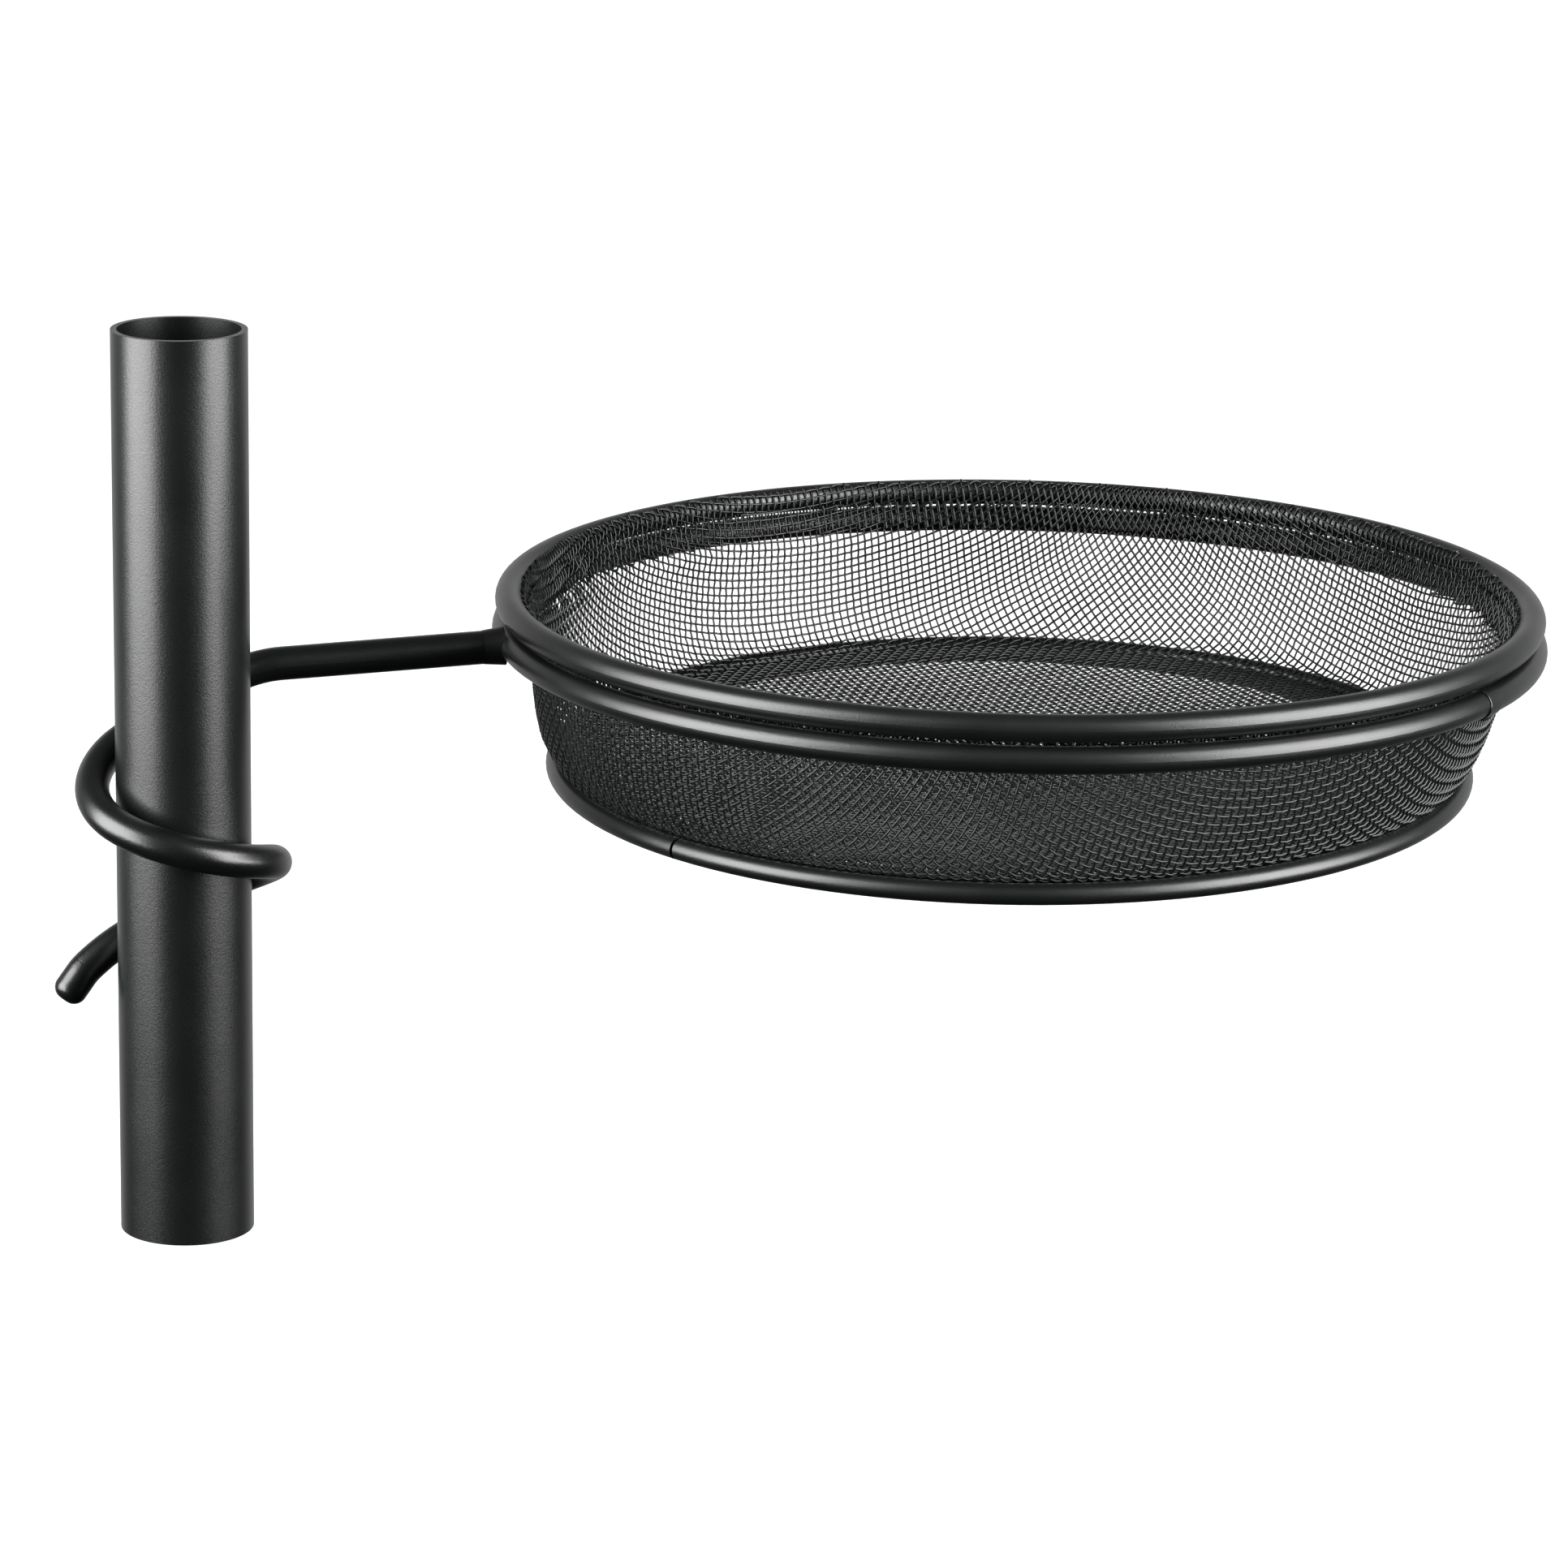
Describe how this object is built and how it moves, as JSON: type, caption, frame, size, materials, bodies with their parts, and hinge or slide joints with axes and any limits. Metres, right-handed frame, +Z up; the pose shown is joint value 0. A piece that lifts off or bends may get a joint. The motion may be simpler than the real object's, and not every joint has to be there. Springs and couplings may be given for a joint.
{
  "type": "bird feeder on pole",
  "caption": "Round wire-mesh feeder tray resting in a ring on a rod arm that is twisted round a tubular garden pole.",
  "frame": {"origin": "centre of the pole's lower end", "axes": "+Z up along the pole, +X from the pole towards the tray"},
  "size_m": [0.2489, 0.1778, 0.151],
  "materials": {
    "pole_coat": "satin black powder coat with a fine grain",
    "rod_coat": "satin black powder coat with a fine grain",
    "tray_coat": "satin black powder coat",
    "mesh_wire": "black coated woven wire"
  },
  "bodies": {
    "pole": {"pole_tube": "pole_coat"},
    "arm": {"twist_arm": "rod_coat", "support_ring": "rod_coat", "arm_weld": "rod_coat", "ring_seam_weld": "rod_coat"},
    "tray": {"tray_rim_ring": "tray_coat", "tray_mesh": "mesh_wire", "tray_base_ring": "tray_coat"}
  },
  "joints": [
    {"name": "arm_swivel", "type": "hinge", "parent": "pole", "child": "arm", "pos_m": [0, 0, 0.0935], "axis": [0, 0, 1], "continuous": true},
    {"name": "tray_lift", "type": "slide", "parent": "arm", "child": "tray", "axis": [0, 0, 1], "range_m": [0, 0.06]}
  ]
}
